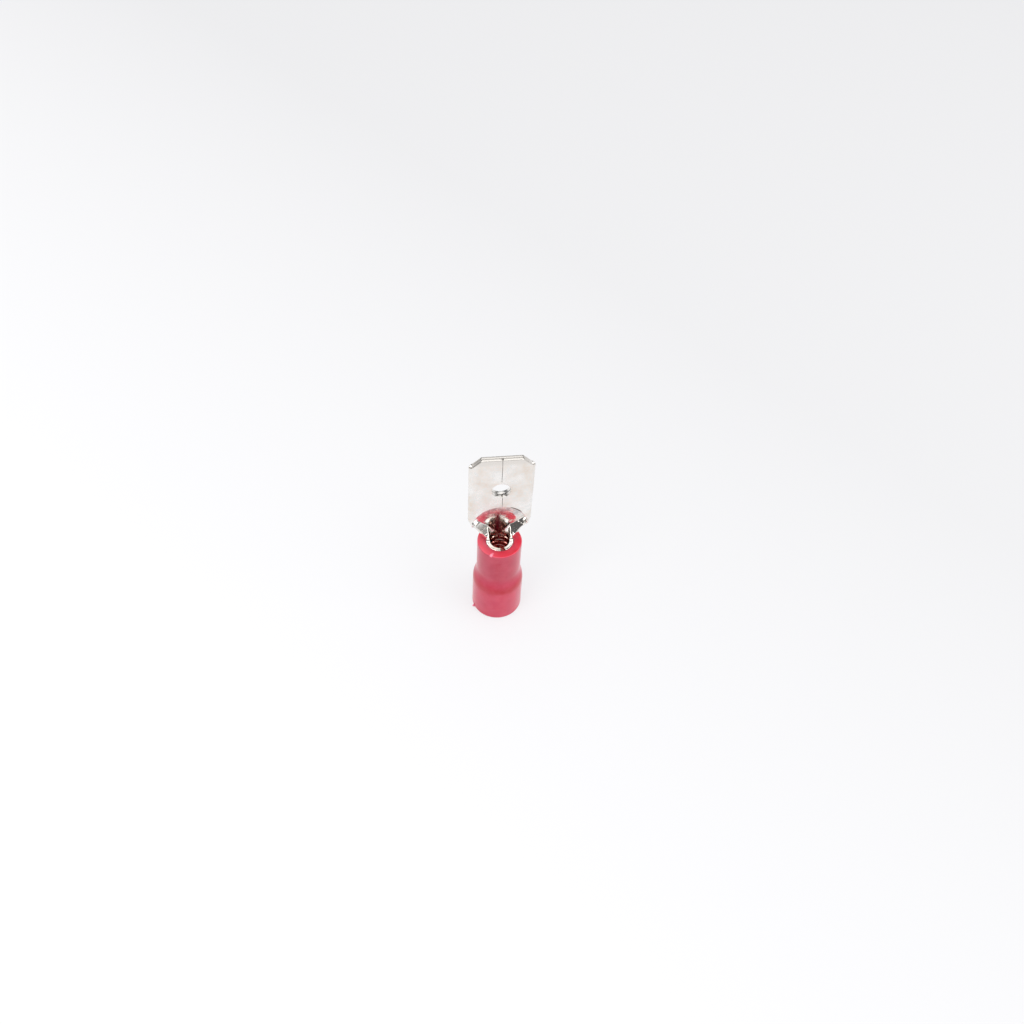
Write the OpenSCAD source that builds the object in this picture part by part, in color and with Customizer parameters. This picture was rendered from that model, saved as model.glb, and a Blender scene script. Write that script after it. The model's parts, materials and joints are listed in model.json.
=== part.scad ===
// Male spade terminal with an insulating sleeve, for 0.5 to 1.5 mm2 wire.
// Origin: centre of the sleeve's open end, on the axis of the wire barrel. +Z runs to the tab's tip.
// The folded seam of the tab faces -Y. The back of the tab is flush with the back of the barrel.

/* [Brass strip] */
// Thickness of the strip that the terminal is folded from
sheet_t = 0.4; // [0.3:0.01:0.5]
// Gap left between the two layers of the folded tab
layer_gap = 0.03; // [0.02:0.005:0.06]

/* [Tab] */
// Width of the tab over its folds
tab_w = 6.35; // [5.8:0.05:7.2]
// Height of the tab's tip above the centre of the arched cut
tab_len = 9.35; // [8.5:0.05:11]
// Corner chamfer of the tip, along its width
tip_chamfer_w = 1.2; // [0.8:0.05:1.6]
// Corner chamfer of the tip, along its height
tip_chamfer_len = 1.15; // [0.8:0.05:1.5]
// Height of the coined bevel round the tip
tip_bevel_len = 0.7; // [0.4:0.05:1]
// Depth of the coined bevel on each face
tip_bevel_depth = 0.08; // [0.05:0.01:0.2]
// Diameter of the detent hole
hole_d = 1.9; // [1.4:0.05:2.2]
// Centre of the detent hole, below the tip
hole_from_tip = 4.15; // [3.6:0.05:4.6]
// Gap at the seam where the two folded flaps meet
seam_gap = 0.04; // [0.03:0.01:0.12]
// Width of the strip of flap left beside the arched cut, at each ear
ear_w = 0.5; // [0.45:0.05:0.9]

/* [Neck] */
// Height of the arched cut's centre above the barrel's top edge
neck_h = 1.75; // [1.5:0.05:2.5]
// Height of the straight part of the neck's edge, above the sleeve's rim
neck_straight = 0.05; // [0.05:0.05:0.3]
// Radius in the edge of the neck, below each ear
neck_fillet_r = 1.9; // [1.5:0.05:2.2]
// Height of the gussets' inner corner above the sleeve's rim
gusset_h = 1.15; // [0.9:0.05:1.4]
// Half width of the flat back at the gussets' inner corner
gusset_x = 1.32; // [1.25:0.01:1.5]
// Lean of the gussets, forward from the flat back
gusset_angle = 45; // [35:1:55]
// Radius at the sides of the trough, where its flat back meets the gussets' inner corners
trough_corner_r = 0.3; // [0.3:0.01:0.5]

/* [Wire barrel] */
// Bore of the barrel
barrel_bore_d = 2; // [1.7:0.05:2.3]
// Length of the barrel
barrel_len = 5.5; // [5:0.1:5.9]
// Gap at the barrel's open seam, a little to the +X side
barrel_seam_gap = 0.45; // [0.2:0.05:0.6]
// Chamfer at the barrel's wire entry
barrel_chamfer = 0.12; // [0.05:0.01:0.18]
// Number of grooves rolled inside the barrel
groove_count = 4; // [2:1:5]
// Spacing of the grooves
groove_pitch = 0.9; // [0.7:0.05:1]
// Width of a groove
groove_w = 0.36; // [0.2:0.02:0.5]
// Depth of a groove
groove_depth = 0.1; // [0.05:0.01:0.15]

/* [Insulating sleeve] */
// Length of the sleeve
sleeve_len = 10.5; // [10:0.1:12]
// Wall of the narrow part that grips the barrel
grip_wall = 0.87; // [0.6:0.01:1.1]
// Clearance between the barrel and the sleeve
sleeve_fit = 0.02; // [0.01:0.01:0.05]
// Depth of the barrel's top edge below the sleeve's rim
barrel_recess = 0.05; // [0.02:0.01:0.2]
// Bore of the bell that takes the wire's insulation
bell_bore_d = 3.9; // [3.5:0.05:4.4]
// Wall of the bell
bell_wall = 0.71; // [0.5:0.01:0.9]
// Height of the bell, below its shoulder
bell_len = 4.3; // [3.6:0.1:4.4]
// Height of the shoulder between the bell and the grip
shoulder_len = 2.2; // [1.5:0.1:2.6]
// Radius of the bell's lower edge
bell_edge_r = 0.25; // [0.1:0.01:0.35]
// Radius of the rim's outer edge
rim_edge_r = 0.1; // [0.05:0.01:0.2]
// Reach of the tag of flash at the bell's lower edge
flash_reach = 0.22; // [0.1:0.02:0.3]
// Height of the tag of flash
flash_h = 0.6; // [0.3:0.05:0.9]
// Diameter of the burr on the rim
burr_d = 0.42; // [0.2:0.02:0.6]

/* [Hidden] */

round_fn = 64;
past = 0.5;                                        // how far a cut runs past its face
bury = 0.2;                                        // how far the neck runs into the barrel and the tab
neck_inset = layer_gap / 2 + 0.005;                // keeps the neck's faces inside those it joins
rim_rows = 8;                                      // rows of the neck below the gussets' inner corner
ear_rows = 10;                                     // rows above it
half_cols = 12;                                    // columns on the back, and again round each fold
gusset_start = 0.3;                                // share of gusset_h over which the gussets begin
gusset_soft = 0.25;                                // eases the corner at the foot of the gussets
most_split = 0.88;                                 // share of the strip's half that the back's columns may take
bend_half = 0.15;                                  // half length of the bend between back and gusset
seam_turn = 9;
shoulder_steps = 10;
flash_angle = 198;
burr_angle = 243;

barrel_in_r = barrel_bore_d / 2;
barrel_mid_r = barrel_in_r + sheet_t / 2;
barrel_out_r = barrel_in_r + sheet_t;
barrel_top = sleeve_len - barrel_recess;
barrel_bottom = barrel_top - barrel_len;

tab_y = barrel_out_r - sheet_t;                    // plane between the tab's two layers
tab_front_y = tab_y - sheet_t;
arch_z = barrel_top + neck_h;
tip_z = arch_z + tab_len;
tab_flat = tab_w / 2 - sheet_t;                    // half width, up to where a fold begins
arch_r = tab_w / 2 - ear_w;
neck_root = barrel_mid_r * PI / 2;                 // half of the neck's width, measured along the curl
fold_r = sheet_t / 2;
fold_end = tab_flat + PI * fold_r;                 // lengths along the strip, from its middle
gusset_z = sleeve_len + gusset_h;
slope_z = sleeve_len + neck_straight + neck_fillet_r / sqrt(2);
slope_s = neck_root + neck_fillet_r * (1 - 1 / sqrt(2));
ear_sum = tab_flat + fold_end - slope_s + slope_z - arch_z;
ear_top = arch_z + (ear_sum - sqrt(max(0, 2 * pow(arch_r, 2) - pow(ear_sum, 2)))) / 2;
chamfer_angle = atan2(tip_chamfer_len, tip_chamfer_w);

grip_in_r = barrel_out_r + sleeve_fit;
grip_out_r = grip_in_r + grip_wall;
bell_in_r = bell_bore_d / 2;
bell_out_r = bell_in_r + bell_wall;
funnel_len = bell_in_r - grip_in_r;

// Section of the folded tab: two layers joined by round folds, open at the seam
module fold_section() {
    difference() {
        union() {
            translate([-tab_flat, tab_front_y]) square([2 * tab_flat, 2 * sheet_t]);
            for (side = [-1, 1]) translate([side * tab_flat, tab_y]) circle(r = sheet_t, $fn = round_fn);
        }
        translate([-tab_flat, tab_y - layer_gap / 2]) square([2 * tab_flat, layer_gap]);
        translate([-seam_gap / 2, tab_front_y - past]) square([seam_gap, past + sheet_t]);
    }
}

// Waste beyond one chamfered corner of the tip, on the +X side
module corner_waste() {
    translate([tab_w / 2 - tip_chamfer_w, tab_y, tip_z]) rotate([0, chamfer_angle, 0])
        translate([-tab_w, -tab_w, 0]) cube(2 * tab_w);
}

// Waste outside the coined bevel on the front face, along an edge at the origin that runs in X
module bevel_waste() {
    slope = tip_bevel_depth / tip_bevel_len;
    rotate([90, 0, 90]) linear_extrude(height = 2 * tab_w, center = true) polygon([
        [tab_front_y - past, -tip_bevel_len - past],
        [tab_front_y - slope * past, -tip_bevel_len - past],
        [tab_front_y + tip_bevel_depth + slope * past, past],
        [tab_front_y - past, past]
    ]);
}

// Bevels of one face: along the tip and along both chamfers
module face_bevels() {
    translate([0, 0, tip_z]) bevel_waste();
    for (side = [0, 1]) mirror([side, 0, 0])
        translate([tab_w / 2 - tip_chamfer_w, 0, tip_z]) rotate([0, chamfer_angle, 0]) bevel_waste();
}

module tab() {
    difference() {
        translate([0, 0, ear_top]) linear_extrude(height = tip_z - ear_top) fold_section();
        for (side = [0, 1]) mirror([side, 0, 0]) corner_waste();
        face_bevels();
        translate([0, 2 * tab_y, 0]) mirror([0, 1, 0]) face_bevels();
        translate([0, tab_y, tip_z - hole_from_tip]) rotate([90, 0, 0])
            cylinder(d = hole_d, h = 2 * (sheet_t + past), center = true, $fn = round_fn);
        translate([0, tab_y, arch_z]) rotate([90, 0, 0])
            cylinder(r = arch_r, h = sheet_t + past, $fn = round_fn);
    }
}

// Neck: the barrel's half round opens into a trough whose flat back widens into the tab. On each side a gusset
// leans outward from the trough and runs into the tab's fold. Rows run up the neck, columns along the strip.
function clip(value, low, high) = min(max(value, low), high);

// Half length of the strip at a height: straight, round a fillet, then out at 45 degrees to the arched cut
function neck_half(z) =
    let (rise = clip(z - sleeve_len - neck_straight, 0, neck_fillet_r / sqrt(2)))
    neck_root + neck_fillet_r - sqrt(pow(neck_fillet_r, 2) - pow(rise, 2)) + max(0, z - slope_z);

// One stretch of the strip's section, from [x, y, turn], with an even bend in degrees per millimetre
function walk(from, reach, bend) =
    let (turn = from[2], after = turn + bend * reach, rate = bend * PI / 180)
    abs(bend) < 0.001
        ? [from[0] + reach * cos(turn), from[1] - reach * sin(turn), turn]
        : [from[0] + (sin(after) - sin(turn)) / rate, from[1] + (cos(after) - cos(turn)) / rate, after];

// Section of the strip at a height: radius of the trough's corner, lengths to its start and to the crease beside
// the gusset, lean of the gusset and half length of the bend there
function neck_section(z) =
    let (above = clip(z - gusset_z, -gusset_soft, gusset_soft),
         rise = pow(above + gusset_soft, 2) / (4 * gusset_soft) + max(0, z - gusset_z - gusset_soft),
         low = clip((z - rise - sleeve_len) / gusset_h, 0, 1),
         high = clip(rise / (ear_top - gusset_z), 0, 1),
         wide = barrel_mid_r + (gusset_x - barrel_mid_r) * low + (tab_flat - gusset_x) * high,
         deep = barrel_mid_r * (1 - low),
         corner = deep + trough_corner_r * low * low,
         curl = acos(1 - deep / corner),
         flat = wide - corner * sin(curl),
         back = flat + corner * curl * PI / 180,
         part = clip(low / gusset_start, 0, 1),
         ease = part * part * (3 - 2 * part),
         lean = curl + (gusset_angle * pow(1 - high * high, 2) - curl) * ease,
         half = max(min(bend_half * part, tab_flat - back), 0.0001))
    [corner, flat, back, lean, half];

// Middle of the strip at a length along its section: flat back, trough's corner, bend, gusset, fold, flap
function strip_point(along, z) =
    let (section = neck_section(z),
         corner = section[0],
         flat = section[1],
         back = section[2],
         lean = section[3],
         half = section[4],
         before = back - half,
         arc = max(0, before - flat),
         arc_bend = 180 / PI / corner,
         p1 = walk([0, barrel_mid_r, 0], min(along, flat, before), 0),
         p2 = walk(p1, clip(along - flat, 0, arc), arc_bend),
         p3 = walk(p2, clip(along - before, 0, 2 * half), (lean - arc * arc_bend) / (2 * half)),
         p4 = walk(p3, clip(along - back - half, 0, max(0, tab_flat - back - half)), 0),
         p5 = walk(p4, clip(along - tab_flat, 0, PI * fold_r), 180 / PI / fold_r),
         p6 = walk(p5, max(along - fold_end, 0), 0))
    [p6[0], p6[1], z];

// The same point moved off the middle, square to the strip
function strip_face(along, z, offset) =
    let (step = 0.001,
         here = strip_point(along, z),
         square_out = cross(strip_point(along + step, z) - strip_point(along - step, z),
                            strip_point(along, z - step) - here))
    here + offset * square_out / norm(square_out);

// Columns are even on both sides of the crease
function column_at(col, z) =
    let (edge = neck_half(z), crease = neck_section(z)[2], split = min(crease, most_split * edge))
    col <= half_cols ? split * col / half_cols : split + (edge - split) * (col - half_cols) / half_cols;

function neck_line(z, lift, offset) = [
    for (col = [-2 * half_cols : 2 * half_cols])
        let (p = strip_face(column_at(abs(col), z), z, offset))
        [sign(col) * p[0], p[1], p[2] + lift]
];

function quad(a, b, c, d) = [[a, b, c], [a, c, d]];

module neck() {
    half_t = sheet_t / 2 - neck_inset;
    heights = [
        for (row = [0 : rim_rows]) sleeve_len + gusset_h * row / rim_rows,
        for (row = [1 : ear_rows]) gusset_z + (ear_top - gusset_z) * row / ear_rows
    ];
    last = len(heights) + 1;
    sections = [sleeve_len, each heights, ear_top];
    lifts = [-barrel_recess - bury, for (z = heights) 0, bury];
    points = [
        for (i = [0 : last]) each neck_line(sections[i], lifts[i], half_t),
        for (i = [0 : last]) each neck_line(sections[i], lifts[i], -half_t)
    ];
    cols = 4 * half_cols;
    span = cols + 1;
    inner = span * (last + 1);                     // index of the first point on the inner face
    faces = [
        for (i = [0 : last - 1], c = [0 : cols - 1]) let (k = i * span + c) each concat(
            quad(k, k + 1, k + span + 1, k + span),
            quad(inner + k, inner + k + span, inner + k + span + 1, inner + k + 1)),
        for (i = [0 : last - 1]) let (k = i * span, m = k + cols) each concat(
            quad(k, k + span, inner + k + span, inner + k),
            quad(m, inner + m, inner + m + span, m + span)),
        for (c = [0 : cols - 1]) let (k = c, m = last * span + c) each concat(
            quad(k, inner + k, inner + k + 1, k + 1),
            quad(m, m + 1, inner + m + 1, inner + m))
    ];
    polyhedron(points = points, faces = faces);
}

module barrel() {
    difference() {
        translate([0, 0, barrel_bottom]) cylinder(r = barrel_out_r, h = barrel_len, $fn = round_fn);
        translate([0, 0, barrel_bottom - past])
            cylinder(r = barrel_in_r, h = barrel_len + 2 * past, $fn = round_fn);
        translate([0, 0, barrel_bottom])
            cylinder(r1 = barrel_in_r + barrel_chamfer, r2 = barrel_in_r, h = barrel_chamfer, $fn = round_fn);
        rotate([0, 0, seam_turn]) translate([-barrel_seam_gap / 2, -barrel_out_r - past, barrel_bottom - past])
            cube([barrel_seam_gap, barrel_out_r + past, barrel_len + 2 * past]);
        for (i = [0 : groove_count - 1])
            translate([0, 0, barrel_top - groove_pitch * (i + 0.5)])
                rotate_extrude($fn = round_fn) polygon([
                    [barrel_in_r - groove_depth, -groove_w],
                    [barrel_in_r + groove_depth, 0],
                    [barrel_in_r - groove_depth, groove_w]
                ]);
    }
}

module blade_terminal() {
    color("gainsboro") union() {
        barrel();
        neck();
        tab();
    }
}

// Waste outside a rounded corner, with the corner at the origin and the wall on the -X, +Y side
module corner_round(r) {
    difference() {
        translate([-r, -past]) square([r + past, r + past]);
        translate([-r, r]) circle(r = r, $fn = round_fn);
    }
}

module sleeve_section() {
    shoulder = [
        for (i = [0 : shoulder_steps])
            let (part = i / shoulder_steps, ease = (1 - cos(180 * part)) / 2)
            [bell_out_r + (grip_out_r - bell_out_r) * ease, bell_len + shoulder_len * part]
    ];
    difference() {
        polygon(concat(
            [[bell_in_r, 0], [bell_out_r, 0]],
            shoulder,
            [[grip_out_r, sleeve_len], [grip_in_r, sleeve_len],
             [grip_in_r, barrel_bottom], [bell_in_r, barrel_bottom - funnel_len]]));
        translate([bell_out_r, 0]) corner_round(bell_edge_r);
        translate([grip_out_r, sleeve_len]) mirror([0, 1]) corner_round(rim_edge_r);
    }
}

// Tag of flash that stands out from the bell's lower edge
module flash_tag() {
    root = bell_out_r - bell_wall / 2;
    rotate([0, 0, flash_angle]) rotate([90, 0, 0]) linear_extrude(height = flash_h / 2, center = true)
        polygon([
            [root, bell_edge_r / 2],
            [bell_out_r + flash_reach, bell_edge_r / 2],
            [bell_out_r + flash_reach / 2, flash_h / 2],
            [bell_out_r - flash_reach / 2, flash_h],
            [root, flash_h]
        ]);
}

// Burr on the rim's outer edge
module rim_burr() {
    rotate([0, 0, burr_angle]) translate([grip_out_r - burr_d / 2, 0, sleeve_len - burr_d / 4])
        sphere(d = burr_d, $fn = round_fn);
}

module insulating_sleeve() {
    color("crimson") union() {
        rotate_extrude($fn = round_fn) sleeve_section();
        flash_tag();
        rim_burr();
    }
}

blade_terminal();
insulating_sleeve();
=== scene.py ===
import json
from math import atan2, cos, pi, radians, sin, sqrt, tan

import bpy
import numpy as np
from mathutils import Matrix, Vector
from mathutils.kdtree import KDTree


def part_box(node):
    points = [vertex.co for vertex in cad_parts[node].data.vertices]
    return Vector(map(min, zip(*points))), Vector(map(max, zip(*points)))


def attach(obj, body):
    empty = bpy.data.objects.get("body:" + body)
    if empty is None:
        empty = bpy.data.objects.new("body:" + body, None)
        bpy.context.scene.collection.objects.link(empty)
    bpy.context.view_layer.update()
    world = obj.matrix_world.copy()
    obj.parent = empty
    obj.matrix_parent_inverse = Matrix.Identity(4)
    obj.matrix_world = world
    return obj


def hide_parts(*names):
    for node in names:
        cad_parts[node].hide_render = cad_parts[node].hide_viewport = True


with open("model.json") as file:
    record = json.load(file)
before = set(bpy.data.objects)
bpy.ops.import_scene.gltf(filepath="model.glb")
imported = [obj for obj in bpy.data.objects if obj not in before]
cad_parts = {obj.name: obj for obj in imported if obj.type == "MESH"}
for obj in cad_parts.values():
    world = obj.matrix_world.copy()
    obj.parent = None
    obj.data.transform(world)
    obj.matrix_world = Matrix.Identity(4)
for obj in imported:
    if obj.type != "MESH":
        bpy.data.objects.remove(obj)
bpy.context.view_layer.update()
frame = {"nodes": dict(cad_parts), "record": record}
mm = 0.001
mounts = {m["name"]: m for m in frame["record"]["mounts"]}
print("frame loaded:", sorted(frame["nodes"]))


def addNode(tree, kind, feeds=None, **settings):
    node = tree.nodes.new(kind)
    for key, value in settings.items():
        setattr(node, key, value)
    for key, value in (feeds or {}).items():
        if isinstance(value, bpy.types.NodeSocket):
            tree.links.new(value, node.inputs[key])
        else:
            node.inputs[key].default_value = value
    return node


def hexColour(code):
    parts = [int(code[i:i + 2], 16) / 255 for i in (1, 3, 5)]
    linear = [c / 12.92 if c <= 0.04045 else ((c + 0.055) / 1.055) ** 2.4 for c in parts]
    return (*linear, 1.0)


def newMaterial(name):
    material = bpy.data.materials.new(name)
    material.use_nodes = True
    material.node_tree.nodes.clear()
    return material, material.node_tree


# tin over brass strip, rolled bright before stamping: a soft mirror with a warm grey cast and cloudy patches
tinFinish = dict(
    bright="#F6F3F0", dull="#E8DDD2", cool="#E9EAE8",
    cloud=1.6, patchFrom=0.35, patchTo=0.7,  # mm, cloudy patches, and the part of the noise they take
    spangle=0.22, spotFrom=0.45, spotTo=0.75,  # mm, grain of the tin
    rollLine=0.05, rollStretch=0.02,  # mm, rolling lines, drawn coarser than real so that they show
    neckGloss=0.07, tabGloss=0.24,  # the drawn neck stays brighter than the pressed tab
    glossSpread=0.1, smearFrom=0.3, smearTo=0.7,
    dullFrom=12.9, dullTo=14.6, rippleTo=15.0,  # mm up the blade, from the neck's finish to the tab's
    lineDepth=0.0012, dentDepth=0.006,  # mm
    ripple=0.45, rippleDepth=0.014, tabRipple=0.35,  # mm, waves pressed in by the tools, weaker on the tab
    boreShade="#DAC4BC", boreGloss=0.06,  # painted shade and red light inside the barrel: a darker, warmer tin stands in for its dim interior
    boreRadius=1.14, boreSoft=0.02, mouthFrom=10.3, mouthTo=10.42,  # mm
    boreRedLight="#D8968F", deepFrom=9.7, deepTo=8.3,  # mm up the blade, painted red light: redder lower down, where light comes through the sleeve
    coined="#E4DFD9", coinedFrom=20.8, coinedSoft=0.35,  # mm up the blade; painted shade: a greyer tin on the coined bevel stands in for its dimmer reflection
    edgeShade="#5A4741",  # painted shade, a dark brown along one side of the arched cut for the shadowed gap under the flap's edge
    recessShade="#C3BFBE", recessBlotch=0.5, blotchFrom=0.3, blotchTo=0.6,  # mm, painted shade: a duller grey in random blotches in the recess behind the arched cut
)


def makeTin():
    material, tree = newMaterial("brightTinPlate")
    f = tinFinish
    place = addNode(tree, "ShaderNodeTexCoord").outputs["Object"]
    height = addNode(tree, "ShaderNodeSeparateXYZ", {0: place}).outputs["Z"]
    cloud, grain, blotch, wave = [addNode(tree, "ShaderNodeTexNoise", {
        "Vector": place, "Scale": 1 / (f[size] * mm), "Detail": detail}).outputs["Fac"]
        for size, detail in (("cloud", 3.0), ("spangle", 2.0), ("recessBlotch", 2.0), ("ripple", 1.0))]
    # warm patches, cool spangles, and painted shade on the tip's coined bevel
    patch = addNode(tree, "ShaderNodeMapRange", {
        "Value": cloud, "From Min": f["patchFrom"], "From Max": f["patchTo"]})
    spot = addNode(tree, "ShaderNodeMapRange", {
        "Value": grain, "From Min": f["spotFrom"], "From Max": f["spotTo"]})
    tip = addNode(tree, "ShaderNodeMapRange", {
        "Value": height, "From Min": f["coinedFrom"] * mm,
        "From Max": (f["coinedFrom"] + f["coinedSoft"]) * mm})
    # painted shade and red light inside the barrel, below its mouth
    level = addNode(tree, "ShaderNodeVectorMath", {0: place, 1: (1, 1, 0)}, operation="MULTIPLY")
    radius = addNode(tree, "ShaderNodeVectorMath", {0: level.outputs[0]}, operation="LENGTH")
    inside = addNode(tree, "ShaderNodeMapRange", {
        "Value": radius.outputs["Value"], "From Min": (f["boreRadius"] - f["boreSoft"]) * mm,
        "From Max": f["boreRadius"] * mm, "To Min": 1.0, "To Max": 0.0})
    below = addNode(tree, "ShaderNodeMapRange", {
        "Value": height, "From Min": f["mouthFrom"] * mm, "From Max": f["mouthTo"] * mm,
        "To Min": 1.0, "To Max": 0.0})
    inBore = addNode(tree, "ShaderNodeMath", {0: inside.outputs[0], 1: below.outputs[0]}, operation="MULTIPLY")
    deep = addNode(tree, "ShaderNodeMapRange", {
        "Value": height, "From Min": f["deepFrom"] * mm, "From Max": f["deepTo"] * mm})
    boreTint = addNode(tree, "ShaderNodeMix", {
        "Factor": deep.outputs[0], "A": hexColour(f["boreShade"]), "B": hexColour(f["boreRedLight"])},
        data_type="RGBA")
    # painted shade behind the arched cut, in random blotches, and along one side of its edge
    recessShade = addNode(tree, "ShaderNodeAttribute", attribute_name="recessShadeMask").outputs["Fac"]
    patchy = addNode(tree, "ShaderNodeMapRange", {
        "Value": blotch, "From Min": f["blotchFrom"], "From Max": f["blotchTo"], "To Max": recessShade})
    edgeShadeShare = addNode(tree, "ShaderNodeAttribute", attribute_name="archEdgeShade").outputs["Fac"]
    colour = hexColour(f["bright"])
    for share, other in (
            (patch.outputs[0], hexColour(f["dull"])), (spot.outputs[0], hexColour(f["cool"])),
            (tip.outputs[0], hexColour(f["coined"])), (inBore.outputs[0], boreTint.outputs["Result"]),
            (patchy.outputs[0], hexColour(f["recessShade"])), (edgeShadeShare, hexColour(f["edgeShade"]))):
        colour = addNode(tree, "ShaderNodeMix", {
            "Factor": share, "A": colour, "B": other}, data_type="RGBA").outputs["Result"]
    # gloss
    polish = addNode(tree, "ShaderNodeMapRange", {
        "Value": height, "From Min": f["dullFrom"] * mm, "From Max": f["dullTo"] * mm,
        "To Min": f["neckGloss"], "To Max": f["tabGloss"]})
    smear = addNode(tree, "ShaderNodeMapRange", {
        "Value": cloud, "From Min": f["smearFrom"], "From Max": f["smearTo"], "To Max": f["glossSpread"]})
    gloss = addNode(tree, "ShaderNodeMath", {0: polish.outputs[0], 1: smear.outputs[0]}, operation="ADD")
    shine = addNode(tree, "ShaderNodeMix", {
        "Factor": inBore.outputs[0], "A": gloss.outputs[0], "B": f["boreGloss"]})
    # rolling lines, shallow dents and waves
    stretch = addNode(tree, "ShaderNodeMapping", {"Vector": place, "Scale": (1.0, 1.0, f["rollStretch"])})
    lines = addNode(tree, "ShaderNodeTexNoise", {
        "Vector": stretch.outputs[0], "Scale": 1 / (f["rollLine"] * mm), "Detail": 1.0})
    rolled = addNode(tree, "ShaderNodeBump", {
        "Strength": 1.0, "Distance": f["lineDepth"] * mm, "Height": lines.outputs["Fac"]})
    dents = addNode(tree, "ShaderNodeBump", {
        "Strength": 1.0, "Distance": f["dentDepth"] * mm, "Height": cloud, "Normal": rolled.outputs[0]})
    flatter = addNode(tree, "ShaderNodeMapRange", {
        "Value": height, "From Min": f["dullFrom"] * mm, "From Max": f["rippleTo"] * mm,
        "To Min": 1.0, "To Max": f["tabRipple"]})
    ripples = addNode(tree, "ShaderNodeBump", {
        "Strength": flatter.outputs[0], "Distance": f["rippleDepth"] * mm, "Height": wave,
        "Normal": dents.outputs[0]})
    shader = addNode(tree, "ShaderNodeBsdfPrincipled", {
        "Base Color": colour, "Metallic": 1.0, "Roughness": shine.outputs[0], "Normal": ripples.outputs[0]})
    addNode(tree, "ShaderNodeOutputMaterial", {"Surface": shader.outputs[0]})
    return material


# soft PVC, moulded satin and a little see-through: deep red on faces that look up and in a band at the
# shoulder's foot, paler on the walls; the paler walls are painted reflection of the bright floor, which the
# band and the rim show less
pvcFinish = dict(
    rim="#CC0630", grip="#B62947", bell="#C62A4E", deep="#B80C2C", pale="#F4A0B4",
    bandHeight=4.8, bandSpread=0.9,  # mm, painted band of deeper red at the foot of the shoulder, where less of the floor's reflection shows
    gripRise=2,  # mm above that ring, where the grip's colour is reached
    mottle=0.9, grain=0.09,  # mm
    cloudFrom=0.35, cloudTo=0.75, cloudPale=0.12,
    topFrom=0.5, topTo=0.95,  # how far a face looks up, from wall to rim; painted reflection: the walls paler than faces that look up
    edgeHighlight=0.3, edgeFrom=0.4, edgeTo=0.6, flatFrom=0.75, flatTo=0.95,  # painted highlight along the rim's rounded outer edge
    leftSheen=0.3, leftSheenSide=(-0.94, -0.34, 0), leftSheenFrom=0.5, leftSheenTo=2.2,  # mm, painted highlight, paler on the left side of the rim's top
    toolMark=0.16, toolWander=0.6,  # mm, rings left by the mould
    ringPeriod=0.314,  # of the wave node at scale 1
    roughness=(0.36, 0.5), glossFrom=0.3, glossTo=0.7,
    grainDepth=0.004, toolDepth=0.0015,  # mm
    ior=1.53, seeThrough=0.9, glow=(1.0, 0.2, 0.25), glowDepth=1.4,  # mm, how far light spreads inside
    bloom=0.7, bloomSoft=0.3,  # sheen of the satin skin
)


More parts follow.
